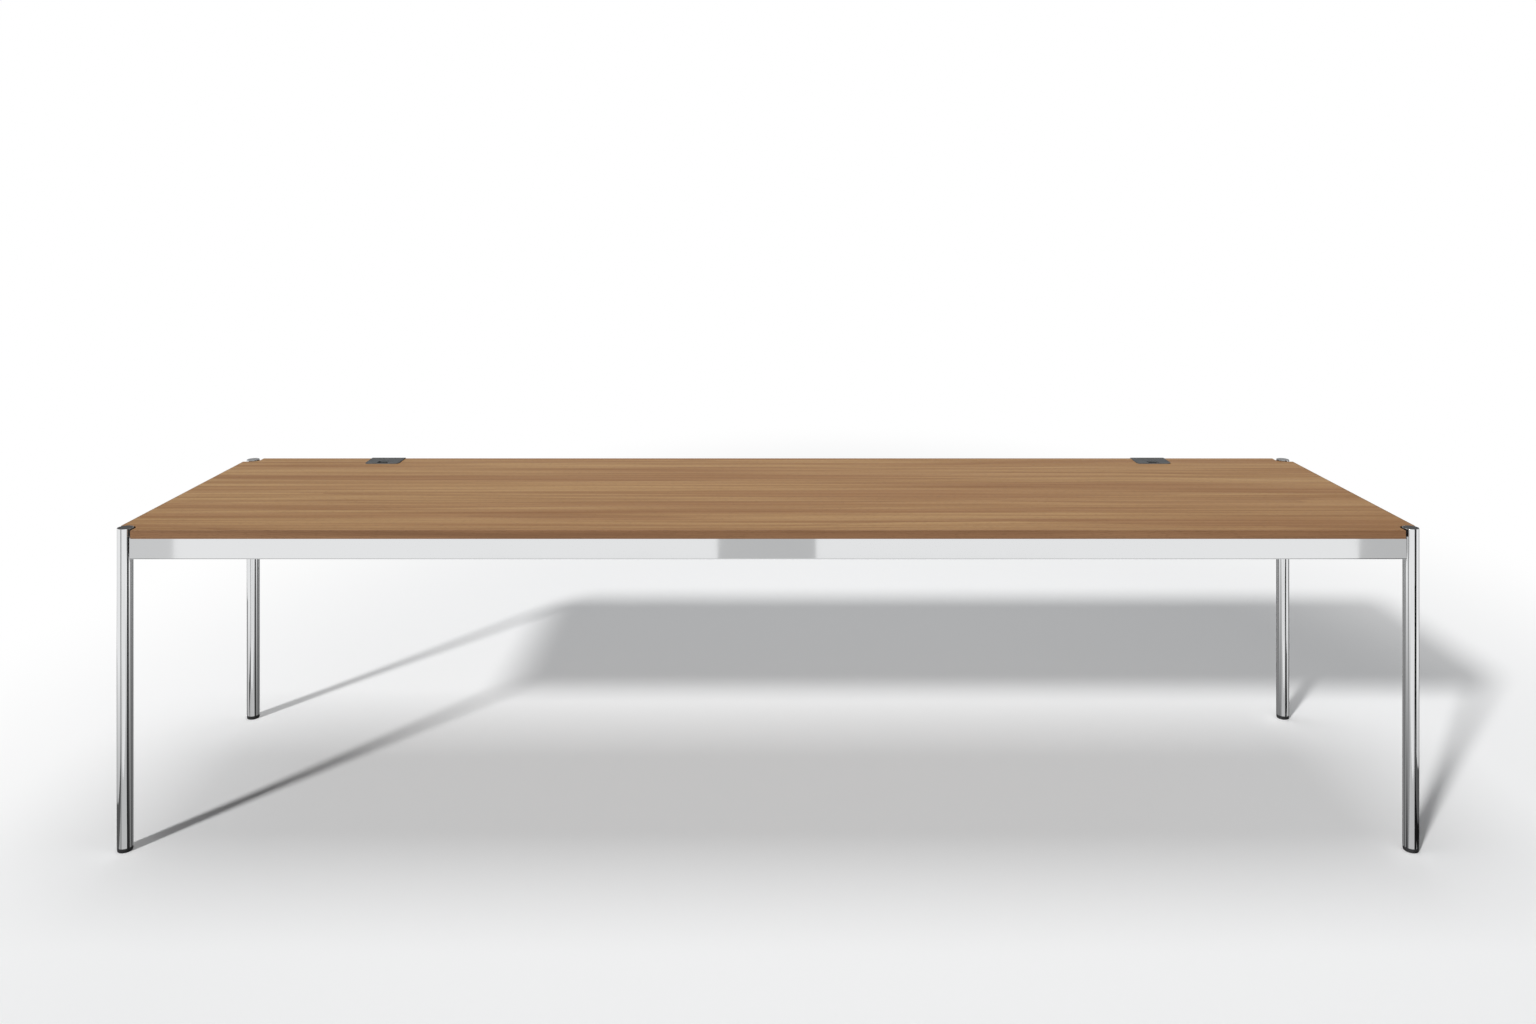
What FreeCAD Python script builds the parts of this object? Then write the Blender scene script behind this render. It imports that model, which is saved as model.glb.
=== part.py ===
import FreeCAD, Part
import os
import re
import Sketcher
from FreeCAD import Placement, Rotation, Vector

# A long meeting table: a veneered top on a chromed tube frame, with levelling feet and two cable outlets.
# The origin is on the floor under the middle of the top, X runs along the top and the outlets are at +Y.
# Driving dimensions in millimetres, one cell of the sheet each
SIZES = {
    # The whole table
    "top_length": 3000,
    "top_depth": 750,
    "top_height": 740,
    # Board layers and edges
    "core_thickness": 17.4,
    "veneer_thickness": 0.8,
    "lipping_thickness": 2.5,
    "lipping_round": 1.2,
    "notch_gap": 4.5,
    # Legs, caps and the steel plugs at rail height
    "leg_diameter": 35,
    "leg_wall": 2,
    "leg_setback": 3.5,
    "cap_height": 6,
    "cap_proud": 2,
    "cap_round": 1.2,
    "cap_plug_depth": 12,
    "corner_plug_height": 46,
    # Rails and their joints to the legs
    "rail_height": 50,
    "rail_width": 20,
    "rail_wall": 2,
    "rail_round": 2.5,
    "cope_gap": 0.2,
    "block_length": 40,
    "bolt_diameter": 8,
    "bolt_stagger": 9,
    "bolt_depth": 12,
    "bolt_reach": 30,
    "bolt_bevel": 1,
    "groove_depth": 2,
    "set_screw_diameter": 8,
    "set_screw_place": 18,
    "set_screw_key": 4,
    "set_screw_key_depth": 3,
    "set_screw_seat": 0.2,
    # Cross rails under the board
    "cross_rail_spacing": 1000,
    "cross_rail_height": 40,
    "cross_rail_width": 20,
    "cross_rail_wall": 2,
    "cross_rail_round": 2,
    "end_plate_width": 64,
    "end_plate_thickness": 4,
    "plate_screw_spacing": 44,
    "plate_screw_length": 14,
    "nut_sleeve_diameter": 9,
    "nut_bulb_diameter": 12.5,
    "nut_bulb_length": 3,
    "nut_length": 14,
    # Machine screws and the threaded inserts in the board
    "screw_diameter": 6,
    "screw_head_diameter": 11,
    "screw_head_height": 4,
    "screw_key": 4,
    "screw_key_depth": 2.5,
    "top_screw_length": 14,
    "insert_diameter": 10,
    "insert_length": 13,
    "access_hole_diameter": 13,
    # Levelling feet
    "foot_height": 10,
    "foot_gap": 0.3,
    "socket_length": 40,
    "spindle_diameter": 10,
    "spindle_length": 38,
    "spindle_bevel": 1,
    "foot_pin_diameter": 6,
    "foot_pin_depth": 2,
    "foot_pin_gap": 0.2,
    "collar_diameter": 34,
    "collar_bevel": 0.6,
    "sole_diameter": 33,
    "sole_height": 2.8,
    "sole_bevel": 0.8,
    "sole_gap": 0.2,
    # Cable outlets
    "outlet_inset": 405,
    "outlet_width": 96,
    "outlet_depth": 72,
    "outlet_wall": 3,
    "outlet_round": 10,
    "rim_height": 2,
    "rim_edge_round": 0.8,
    "ledge_width": 2,
    "ledge_height": 2,
    "ledge_gap": 0.2,
    "lid_thickness": 4,
    "lid_gap": 0.4,
    "cable_notch_width": 30,
    "cable_notch_depth": 26,
    "cable_notch_round": 6,
    "hinge_pin_diameter": 2,
    "hinge_pin_grip": 1.5,
    "wood_screw_diameter": 3.5,
    "wood_screw_head_diameter": 7,
    "wood_screw_head_height": 1.5,
    "wood_screw_length": 16,
    "wood_screw_tip": 3,
    # Clearances, and how far each cut runs past what it cuts
    "fit_gap": 0.1,
    "running_gap": 0.05,
    "hole_gap": 0.3,
    "access_gap": 0.5,
    "cut_overrun": 5,
}

# Places along a long rail where a screw holds the board, as shares of the rail's span from its middle
LONG_RAIL_SCREW_SHARES = (-0.44, -0.22, 0, 0.22, 0.44)
SIDE_RAIL_SCREW_SHARES = (0,)

# Sizes that follow from the driving dimensions
FORMULAS = {
    "board_thickness": "core_thickness + 2 * veneer_thickness",
    "board_bottom": "top_height - board_thickness",
    "core_bottom": "board_bottom + veneer_thickness",
    "core_top": "top_height - veneer_thickness",
    "leg_radius": "leg_diameter / 2",
    "leg_bore": "leg_radius - leg_wall",
    "leg_inset": "leg_radius + leg_setback",
    "leg_x": "top_length / 2 - leg_inset",
    "leg_y": "top_depth / 2 - leg_inset",
    "leg_top": "top_height + cap_proud - cap_height",
    "plug_radius": "leg_bore - fit_gap",
    "notch_radius": "leg_radius + notch_gap",
    "notch_x": "leg_x - notch_radius",
    "notch_y": "leg_y - notch_radius",
    "cope_radius": "leg_radius + cope_gap",
    "rail_middle": "board_bottom - rail_height / 2",
    "rail_inner_y": "leg_y - rail_width / 2",
    "rail_hollow_width": "rail_width / 2 - rail_wall",
    "rail_hollow_height": "rail_height / 2 - rail_wall",
    "block_width": "rail_hollow_width - fit_gap",
    "block_height": "rail_hollow_height - fit_gap",
    "bolt_radius": "bolt_diameter / 2",
    "bolt_start": "leg_bore - bolt_depth",
    "bolt_end": "leg_radius + bolt_reach",
    "set_screw_x": "leg_radius + set_screw_place",
    "set_screw_radius": "set_screw_diameter / 2",
    "set_screw_tip": "bolt_radius - groove_depth + set_screw_seat",
    "cross_rail_half": "rail_inner_y - end_plate_thickness",
    "plate_screw_z": "board_bottom - cross_rail_height / 2",
    "screw_radius": "screw_diameter / 2",
    "screw_head_radius": "screw_head_diameter / 2",
    "nut_bore": "screw_radius + running_gap",
    "nut_sleeve_radius": "nut_sleeve_diameter / 2",
    "nut_seat": "rail_wall + fit_gap",
    "insert_radius": "insert_diameter / 2",
    "collar_bottom": "sole_height + sole_gap",
    "collar_top": "foot_height - foot_gap",
    "spindle_radius": "spindle_diameter / 2",
    "spindle_bore": "spindle_radius + running_gap",
    "spindle_top": "foot_height + spindle_length",
    "foot_pin_radius": "foot_pin_diameter / 2",
    "foot_pin_bottom": "collar_bottom - foot_pin_depth",
    "outlet_x": "top_length / 2 - outlet_inset",
    "outlet_cut_half": "outlet_width / 2 + fit_gap",
    "outlet_cut_depth": "outlet_depth + fit_gap",
    "outlet_cut_round": "outlet_round + fit_gap",
    "outlet_inner_half": "outlet_width / 2 - outlet_wall",
    "outlet_inner_front": "outlet_depth - outlet_wall",
    "outlet_inner_round": "outlet_round - outlet_wall",
    "lid_half": "outlet_inner_half - lid_gap",
    "lid_front": "outlet_inner_front - lid_gap",
    "lid_bottom": "rim_height - lid_thickness",
    "hinge_setback": "outlet_wall + lid_gap + lid_thickness / 2",
    "hinge_height": "rim_height - lid_thickness / 2",
    "hinge_pin_radius": "hinge_pin_diameter / 2",
    "ledge_top": "lid_bottom - ledge_gap",
    "outlet_screw_y": "(top_depth - outlet_depth) / 2",
    "outlet_screw_z": "top_height - board_thickness / 2",
    "wood_screw_radius": "wood_screw_diameter / 2",
    "wood_screw_head_radius": "wood_screw_head_diameter / 2",
}

# Each corner: its name, the signs of its leg's place, and the turn that points its own X along its rail
CORNERS = (
    ("front_left", -1, -1, 0),
    ("front_right", 1, -1, 90),
    ("back_right", 1, 1, 180),
    ("back_left", -1, 1, 270),
)
SIDES = (("left", -1), ("right", 1))

X_AXIS = Vector(1, 0, 0)
Y_AXIS = Vector(0, 1, 0)
Z_AXIS = Vector(0, 0, 1)
# A plane's normal runs along its axis or against it
PLANE_FACING = {"XY_Plane": 1, "XZ_Plane": -1, "YZ_Plane": 1}
SAME_PLACE = 1e-6
HEXAGON_SHARES = ((1, 0), (0.5, 1), (-0.5, 1), (-1, 0), (-0.5, -1), (0.5, -1))

doc = FreeCAD.newDocument("meeting_table")
sheet = doc.addObject("Spreadsheet::Sheet", "Sizes")
for row, (alias, size) in enumerate(SIZES.items(), 1):
    sheet.set(f"A{row}", alias)
    sheet.set(f"B{row}", str(size))
    sheet.setAlias(f"B{row}", alias)
doc.recompute()

nodes = []


def spell(formula):
    """Spells a formula out: derived names become their own formulas, sizes gain the sheet's name."""
    def name(match):
        word = match.group(0)
        if word in FORMULAS:
            return "(" + spell(FORMULAS[word]) + ")"
        return "Sizes." + word if word in SIZES else word
    return re.sub(r"[a-z][a-z_]*", name, formula)


def value(formula):
    """The formula's present value."""
    return float(sheet.evalExpression(spell(formula)))


def bind(thing, name, formula):
    """Ties a property to the sheet."""
    thing.setExpression(name, spell(formula))


def put(thing, x, y, z, rotation=Rotation()):
    """Places an object at three formulas, turned as given."""
    thing.Placement = Placement(Vector(), rotation)
    for axis, formula in zip("xyz", (x, y, z)):
        bind(thing, "Placement.Base." + axis, formula)


def turned(degrees):
    """A turn about the vertical."""
    return Rotation(Z_AXIS, degrees)


def start_body(label):
    """An empty body under its own name."""
    body = doc.addObject("PartDesign::Body", label)
    body.Label = label
    return body


def start_sketch(body, plane, level, right="0", up="0"):
    """A sketch parallel to one of the body's planes, with its own origin moved in that plane."""
    sketch = body.newObject("Sketcher::SketchObject", body.Label + "_sketch")
    support = next(each for each in body.Origin.OriginFeatures if each.Role == plane)
    sketch.AttachmentSupport = [(support, "")]
    sketch.MapMode = "FlatFace"
    bind(sketch, "AttachmentOffset.Base.x", right)
    bind(sketch, "AttachmentOffset.Base.y", up)
    bind(sketch, "AttachmentOffset.Base.z", f"{PLANE_FACING[plane]} * ({level})")
    return sketch


def tie(sketch, kind, line, point, formula):
    """Ties one coordinate of a point to a formula."""
    index = sketch.addConstraint(Sketcher.Constraint(kind, -1, 1, line, point, value(formula)))
    bind(sketch, f"Constraints[{index}]", formula)


def left_arc(start, end, radius):
    """An arc of under a half circle that turns left on its way between two places."""
    chord = end - start
    left = Vector(-chord.y, chord.x, 0).normalize()
    centre = (start + end) / 2 + left * (radius**2 - chord.Length**2 / 4)**0.5
    circle = Part.Circle(centre, Z_AXIS, radius)
    return Part.ArcOfCircle(circle, circle.parameter(start), circle.parameter(end))


def tie_radius(sketch, curve, formula):
    """Ties the radius of a circle or an arc."""
    index = sketch.addConstraint(Sketcher.Constraint("Radius", curve, value(formula)))
    bind(sketch, f"Constraints[{index}]", formula)


def draw_outline(sketch, points):
    """A closed outline with every corner tied. A third value is the radius of an arc to the next corner."""
    places = [Vector(value(point[0]), value(point[1]), 0) for point in points]
    first = sketch.GeometryCount
    for point, place, following in zip(points, places, places[1:] + places[:1]):
        if len(point) > 2:
            sketch.addGeometry(left_arc(place, following, value(point[2])))
        else:
            sketch.addGeometry(Part.LineSegment(place, following))
    for step, (across, up, *radius) in enumerate(points):
        before = first + (step - 1) % len(points)
        sketch.addConstraint(Sketcher.Constraint("Coincident", before, 2, first + step, 1))
        tie(sketch, "DistanceX", first + step, 1, across)
        tie(sketch, "DistanceY", first + step, 1, up)
        for formula in radius:
            tie_radius(sketch, first + step, formula)


def draw_circle(sketch, radius, across, up):
    """A circle with its centre and its radius tied."""
    centre = Vector(value(across), value(up), 0)
    circle = sketch.addGeometry(Part.Circle(centre, Z_AXIS, value(radius)))
    tie(sketch, "DistanceX", circle, 3, across)
    tie(sketch, "DistanceY", circle, 3, up)
    tie_radius(sketch, circle, radius)


def ring(radius, across="0", up="0"):
    """A circle to draw in a sketch."""
    return lambda sketch: draw_circle(sketch, radius, across, up)


def outline(points):
    """A closed outline to draw in a sketch."""
    return lambda sketch: draw_outline(sketch, points)


def box(left, right, low, high):
    """A rectangle between four levels."""
    return outline([(left, low), (right, low), (right, high), (left, high)])


def middle_box(half_width, half_height):
    """A rectangle about the sketch's origin."""
    return box(f"-({half_width})", half_width, f"-({half_height})", half_height)


def bay(half_width, front, back, radius, centre="0"):
    """A rectangle with its two front corners rounded."""
    left = f"{centre} - ({half_width})"
    right = f"{centre} + {half_width}"
    shoulder = f"{front} + {radius}"
    return outline([(left, back), (left, shoulder, radius), (f"{left} + {radius}", front),
                    (f"{right} - ({radius})", front, radius), (right, shoulder), (right, back)])


def hexagon(key, across="0", up="0"):
    """A hexagon of the given width across its flats, with two corners on the sketch's X."""
    corner = f"{key} / sqrt(3)"
    return outline([(f"{across} + {x_share} * {corner}", f"{up} + {y_share} * {key} / 2")
                    for x_share, y_share in HEXAGON_SHARES])


def extrude(body, kind, plane, low, high, *shapes):
    """Pads or pockets the shapes from a low level to a high one along the plane's axis."""
    forward = (kind == "PartDesign::Pad") == (PLANE_FACING[plane] > 0)
    sketch = start_sketch(body, plane, low if forward else high)
    for shape in shapes:
        shape(sketch)
    feature = body.newObject(kind, body.Label + "_" + kind.split("::")[1].lower())
    feature.Profile = sketch
    bind(feature, "Length", f"({high}) - ({low})")


def pad(body, plane, low, high, *shapes):
    """Adds material between two levels."""
    extrude(body, "PartDesign::Pad", plane, low, high, *shapes)


def cut(body, plane, low, high, *shapes):
    """Takes material away between two levels."""
    extrude(body, "PartDesign::Pocket", plane, low, high, *shapes)


def turn(body, sketch, axis, points):
    """Revolves an outline about one of its sketch's axes."""
    draw_outline(sketch, points)
    feature = body.newObject("PartDesign::Revolution", body.Label + "_turning")
    feature.Profile = sketch
    feature.ReferenceAxis = (sketch, [axis])
    feature.Angle = 360


def turn_upright(body, points):
    """Revolves corners of (radius, height) about the body's Z."""
    turn(body, start_sketch(body, "XZ_Plane", "0"), "V_Axis", points)


def round_edges(body, radius, wanted):
    """Rounds the edges of the body's last feature that are wanted."""
    doc.recompute()
    base = body.Tip
    names = [f"Edge{number}" for number, edge in enumerate(base.Shape.Edges, 1) if wanted(edge)]
    if not names:
        raise RuntimeError("no edge to round on " + body.Label)
    fillet = body.newObject("PartDesign::Fillet", body.Label + "_rounding")
    fillet.Base = (base, names)
    bind(fillet, "Radius", radius)


def runs_along(edge, axis):
    """True for a straight edge along the axis."""
    return edge.Curve.TypeId == "Part::GeomLine" and abs(edge.Curve.Direction.dot(axis)) > 1 - SAME_PLACE


def is_at(coordinate, formula):
    """True where a coordinate has the formula's value."""
    return abs(coordinate - value(formula)) < SAME_PLACE


def keep(node):
    """Lists an object as a sub-part with its own file."""
    nodes.append(node)


def copies(label, *sets):
    """Lists one sub-part of equal solids: copies of a master body at places of (x, y, z, rotation)."""
    links = []
    for master, places in sets:
        for place in places:
            link = doc.addObject("App::Link", label + "_copy")
            link.LinkedObject = master
            put(link, *place)
            links.append(link)
    group = doc.addObject("Part::Compound", label)
    group.Label = label
    group.Links = links
    keep(group)


def corner_place(corner, z="0"):
    """A leg's axis, turned as its corner is."""
    name, x_sign, y_sign, degrees = corner
    return f"{x_sign} * leg_x", f"{y_sign} * leg_y", z, turned(degrees)


def board_screw_places():
    """Where screws hold the board: over the rails of one wall, and over the cross rails."""
    over_rails = [(f"{share} * 2 * leg_x", f"{sign} * leg_y")
                  for sign in (-1, 1) for share in LONG_RAIL_SCREW_SHARES]
    over_rails += [(f"{sign} * leg_x", f"{share} * 2 * leg_y")
                   for sign in (-1, 1) for share in SIDE_RAIL_SCREW_SHARES]
    over_cross_rails = [(f"{sign} * cross_rail_spacing / 2", "0") for sign in (-1, 1)]
    return over_rails, over_cross_rails


def outlet_bays(front, back):
    """The two outlets' cut-outs in the board, from a front level to a back one."""
    return [bay("outlet_cut_half", front, back, "outlet_cut_round", f"{side} * outlet_x")
            for name, side in SIDES]


def make_board_layer(label, low, high):
    """One layer of the top between its lippings, with the corner notches and the outlets' cut-outs."""
    body = start_body(label)
    below = f"{low} - cut_overrun"
    above = f"{high} + cut_overrun"
    half_length = "top_length / 2 - lipping_thickness"
    half_depth = "top_depth / 2 - lipping_thickness"
    pad(body, "XY_Plane", low, high, middle_box(half_length, half_depth))
    signs = [(x_sign, y_sign) for name, x_sign, y_sign, degrees in CORNERS]
    cut(body, "XY_Plane", below, above,
        *[ring("notch_radius", f"{x_sign} * leg_x", f"{y_sign} * leg_y") for x_sign, y_sign in signs])
    beyond_x = "(top_length / 2 + cut_overrun)"
    beyond_y = "(top_depth / 2 + cut_overrun)"
    cut(body, "XY_Plane", below, above,
        *[box(f"{x_sign} * notch_x", f"{x_sign} * {beyond_x}",
              f"{y_sign} * leg_y", f"{y_sign} * {beyond_y}") for x_sign, y_sign in signs])
    cut(body, "XY_Plane", below, above,
        *[box(f"{x_sign} * leg_x", f"{x_sign} * {beyond_x}",
              f"{y_sign} * notch_y", f"{y_sign} * {beyond_y}") for x_sign, y_sign in signs])
    cut(body, "XY_Plane", below, above,
        *outlet_bays("top_depth / 2 - outlet_cut_depth", "top_depth / 2 + cut_overrun"))
    keep(body)
    return body


def make_tabletop():
    """The board core and its two veneers."""
    make_board_layer("tabletop_top_veneer", "core_top", "top_height")
    backing = make_board_layer("tabletop_backing_veneer", "board_bottom", "core_bottom")
    core = make_board_layer("tabletop_core", "core_bottom", "core_top")
    over_rails, over_cross_rails = board_screw_places()
    insert_holes = [ring("insert_radius + fit_gap", x, y) for x, y in over_rails + over_cross_rails]
    cut(backing, "XY_Plane", "board_bottom - cut_overrun", "core_bottom + cut_overrun", *insert_holes)
    hole_end = "board_bottom + insert_length + fit_gap"
    cut(core, "XY_Plane", "core_bottom - cut_overrun", hole_end, *insert_holes)
    pilot_reach = "outlet_inner_half + wood_screw_length + fit_gap"
    pilot_hole = ring("wood_screw_radius + fit_gap", "outlet_screw_y", "outlet_screw_z")
    for name, side in SIDES:
        centre = f"{side} * outlet_x"
        cut(core, "YZ_Plane", f"{centre} - ({pilot_reach})", f"{centre} + ({pilot_reach})", pilot_hole)


def make_lipping(label, half_run, x, y, degrees, breaks=()):
    """A solid wood strip on one edge of the board, which stops at the notches round the legs."""
    body = start_body(label)
    strip = box(f"-({half_run})", half_run, "0", "lipping_thickness")
    pad(body, "XY_Plane", "board_bottom", "top_height", strip)
    round_edges(body, "lipping_round",
                lambda edge: runs_along(edge, X_AXIS) and is_at(edge.CenterOfMass.y, "0"))
    if breaks:
        cut(body, "XY_Plane", "board_bottom - cut_overrun", "top_height + cut_overrun", *breaks)
    put(body, x, y, "0", turned(degrees))
    keep(body)


def make_lippings():
    """Four strips that stop at the corner notches. The outlets break the back one into three."""
    make_lipping("edge_lipping_front", "notch_x", "0", "-top_depth / 2", 0)
    make_lipping("edge_lipping_right", "notch_y", "top_length / 2", "0", 90)
    outlet_breaks = outlet_bays("lipping_thickness - outlet_cut_depth", "outlet_cut_depth")
    make_lipping("edge_lipping_back", "notch_x", "0", "top_depth / 2", 180, outlet_breaks)
    make_lipping("edge_lipping_left", "notch_y", "-top_length / 2", "0", 270)


def make_leg(corner):
    """A chromed tube with a hole for each of its two dowel bolts, one above the other."""
    body = start_body("leg_" + corner[0])
    pad(body, "XY_Plane", "foot_height", "leg_top", ring("leg_radius"), ring("leg_bore"))
    outside = "leg_radius + cut_overrun"
    cut(body, "YZ_Plane", "0", outside, ring("bolt_radius + hole_gap", "0", "rail_middle + bolt_stagger"))
    cut(body, "XZ_Plane", "0", outside, ring("bolt_radius + hole_gap", "0", "rail_middle - bolt_stagger"))
    put(body, *corner_place(corner))
    keep(body)


def make_leg_cap(corner):
    """A flat chromed cap with a rounded rim, and a plug that fits the tube."""
    body = start_body("leg_cap_" + corner[0])
    crown = "leg_top + cap_height"
    turn_upright(body, [("0", "leg_top - cap_plug_depth"), ("plug_radius", "leg_top - cap_plug_depth"),
                        ("plug_radius", "leg_top"), ("leg_radius", "leg_top"), ("leg_radius", crown),
                        ("0", crown)])
    round_edges(body, "cap_round", lambda edge: edge.Closed and is_at(edge.CenterOfMass.z, crown))
    put(body, *corner_place(corner))
    keep(body)


def make_corner_plug(corner):
    """A steel plug inside the leg that the two dowel bolts screw into."""
    body = start_body("corner_plug_" + corner[0])
    pad(body, "XY_Plane", "rail_middle - corner_plug_height / 2", "rail_middle + corner_plug_height / 2",
        ring("plug_radius"))
    bottom = "bolt_start - fit_gap"
    mouth = "plug_radius + cut_overrun"
    cut(body, "YZ_Plane", bottom, mouth, ring("bolt_radius + running_gap", "0", "rail_middle + bolt_stagger"))
    cut(body, "XZ_Plane", bottom, mouth, ring("bolt_radius + running_gap", "0", "rail_middle - bolt_stagger"))
    put(body, *corner_place(corner))
    keep(body)


def make_foot(corner):
    """A levelling foot: the socket in the leg, the spindle with its collar, and the sole under them."""
    socket = start_body("foot_socket_" + corner[0])
    pad(socket, "XY_Plane", "foot_height", "foot_height + socket_length",
        ring("plug_radius"), ring("spindle_bore"))
    spindle = start_body("foot_spindle_" + corner[0])
    turn_upright(spindle, [("0", "foot_pin_bottom"), ("foot_pin_radius", "foot_pin_bottom"),
                           ("foot_pin_radius", "collar_bottom"), ("spindle_radius", "collar_bottom"),
                           ("spindle_radius", "spindle_top - spindle_bevel"),
                           ("spindle_radius - spindle_bevel", "spindle_top"), ("0", "spindle_top")])
    collar = start_body("foot_collar_" + corner[0])
    collar_radius = "collar_diameter / 2"
    turn_upright(collar, [("spindle_bore", "collar_bottom"),
                          (f"{collar_radius} - collar_bevel", "collar_bottom"),
                          (collar_radius, "collar_bottom + collar_bevel"),
                          (collar_radius, "collar_top - collar_bevel"),
                          (f"{collar_radius} - collar_bevel", "collar_top"), ("spindle_bore", "collar_top")])
    sole = start_body("foot_sole_" + corner[0])
    sole_radius = "sole_diameter / 2"
    recess = "foot_pin_radius + running_gap"
    recess_floor = "foot_pin_bottom - foot_pin_gap"
    turn_upright(sole, [("0", "0"), (f"{sole_radius} - sole_bevel", "0"), (sole_radius, "sole_bevel"),
                        (sole_radius, "sole_height"), (recess, "sole_height"), (recess, recess_floor),
                        ("0", recess_floor)])
    for body in (socket, spindle, collar, sole):
        put(body, *corner_place(corner))
        keep(body)


def make_rail(label, corner, span, screw_shares, crossed):
    """A rectangular tube from leg to leg, its ends hollowed to fit them. Its own +Y faces inwards."""
    body = start_body(label)
    half_height = "rail_height / 2"
    pad(body, "YZ_Plane", "0", span, middle_box("rail_width / 2", half_height))
    round_edges(body, "rail_round", lambda edge: runs_along(edge, X_AXIS))
    cut(body, "YZ_Plane", "-cut_overrun", f"{span} + cut_overrun",
        middle_box("rail_hollow_width", "rail_hollow_height"))
    below = f"-{half_height} - cut_overrun"
    above = f"{half_height} + cut_overrun"
    cut(body, "XY_Plane", below, above, ring("cope_radius"), ring("cope_radius", span))
    inside = "rail_width / 2 + cut_overrun"
    key_hole = "set_screw_radius + access_gap"
    cut(body, "XZ_Plane", "0", inside, ring(key_hole, "set_screw_x", "bolt_stagger"),
        ring(key_hole, f"{span} - set_screw_x", "-bolt_stagger"))
    places = [f"(0.5 + {share}) * {span}" for share in screw_shares]
    cut(body, "XY_Plane", "0", above, *[ring("screw_radius + hole_gap", x) for x in places])
    cut(body, "XY_Plane", below, "0", *[ring("access_hole_diameter / 2", x) for x in places])
    if crossed:
        nut_places = [f"({span} + {rail_sign} * cross_rail_spacing + {screw_sign} * plate_screw_spacing) / 2"
                      for rail_sign in (-1, 1) for screw_sign in (-1, 1)]
        cut(body, "XZ_Plane", "0", inside,
            *[ring("nut_sleeve_radius + fit_gap", x, "plate_screw_z - rail_middle") for x in nut_places])
    put(body, *corner_place(corner, "rail_middle"))
    keep(body)


def make_end_block():
    """A steel block in a rail's end, bored for the dowel bolt and cross-tapped for the set screw."""
    body = start_body("end_block")
    pad(body, "YZ_Plane", "0", "leg_radius + block_length", middle_box("block_width", "block_height"))
    cut(body, "XY_Plane", "-block_height - cut_overrun", "block_height + cut_overrun", ring("cope_radius"))
    cut(body, "YZ_Plane", "0", "leg_radius + block_length + cut_overrun",
        ring("bolt_radius + fit_gap", "0", "bolt_stagger"))
    cut(body, "XZ_Plane", "0", "block_width + cut_overrun",
        ring("set_screw_radius + running_gap", "set_screw_x", "bolt_stagger"))
    return body


def make_dowel_bolt():
    """A steel bolt from the leg's plug into the end block, with a groove for the set screw's point."""
    body = start_body("dowel_bolt")
    beveled = "bolt_radius - bolt_bevel"
    turn(body, start_sketch(body, "XZ_Plane", "0", "0", "bolt_stagger"), "H_Axis",
         [("bolt_start", "0"), ("bolt_start", beveled), ("bolt_start + bolt_bevel", "bolt_radius"),
          ("set_screw_x - groove_depth", "bolt_radius"), ("set_screw_x", "bolt_radius - groove_depth"),
          ("set_screw_x + groove_depth", "bolt_radius"), ("bolt_end - bolt_bevel", "bolt_radius"),
          ("bolt_end", beveled), ("bolt_end", "0")])
    return body


def make_set_screw():
    """A cone-pointed screw that draws the bolt into the block, with a hexagon for its key."""
    body = start_body("set_screw")
    turn(body, start_sketch(body, "XY_Plane", "bolt_stagger", "set_screw_x"), "V_Axis",
         [("0", "set_screw_tip"), ("set_screw_radius", "set_screw_tip + set_screw_radius"),
          ("set_screw_radius", "block_width"), ("0", "block_width")])
    cut(body, "XZ_Plane", "block_width - set_screw_key_depth", "block_width + cut_overrun",
        hexagon("set_screw_key", "set_screw_x", "bolt_stagger"))
    return body


def make_rail_frame():
    """Four rails round the table, each with a block, a bolt and a set screw at both ends."""
    rails = (("front", "2 * leg_x"), ("right", "2 * leg_y"), ("back", "2 * leg_x"), ("left", "2 * leg_y"))
    end_block = make_end_block()
    dowel_bolt = make_dowel_bolt()
    set_screw = make_set_screw()
    upside_down = Rotation(Y_AXIS, 180)
    all_ends = []
    for step, (name, span) in enumerate(rails):
        is_long = span == "2 * leg_x"
        shares = LONG_RAIL_SCREW_SHARES if is_long else SIDE_RAIL_SCREW_SHARES
        make_rail("rail_" + name, CORNERS[step], span, shares, is_long)
        first = corner_place(CORNERS[step], "rail_middle")
        far_x, far_y, far_z, far_turn = corner_place(CORNERS[(step + 1) % len(CORNERS)], "rail_middle")
        ends = [first, (far_x, far_y, far_z, first[3] * upside_down)]
        copies("rail_end_blocks_" + name, (end_block, ends))
        all_ends += ends
    copies("rail_dowel_bolts", (dowel_bolt, all_ends))
    copies("rail_set_screws", (set_screw, all_ends))


def make_cross_rail(name, side):
    """A tube under the board from the front rail's end plate to the back one's."""
    body = start_body("cross_rail_" + name)
    half_width = "cross_rail_width / 2"
    pad(body, "XZ_Plane", "-cross_rail_half", "cross_rail_half",
        box(f"-{half_width}", half_width, "-cross_rail_height", "0"))
    round_edges(body, "cross_rail_round", lambda edge: runs_along(edge, Y_AXIS))
    cut(body, "XZ_Plane", "-cross_rail_half - cut_overrun", "cross_rail_half + cut_overrun",
        box(f"-{half_width} + cross_rail_wall", f"{half_width} - cross_rail_wall",
            "-cross_rail_height + cross_rail_wall", "-cross_rail_wall"))
    cut(body, "XY_Plane", "-cross_rail_height / 2", "cut_overrun", ring("screw_radius + hole_gap"))
    cut(body, "XY_Plane", "-cross_rail_height - cut_overrun", "-cross_rail_height / 2",
        ring("access_hole_diameter / 2"))
    put(body, f"{side} * cross_rail_spacing / 2", "0", "board_bottom")
    keep(body)


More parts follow.
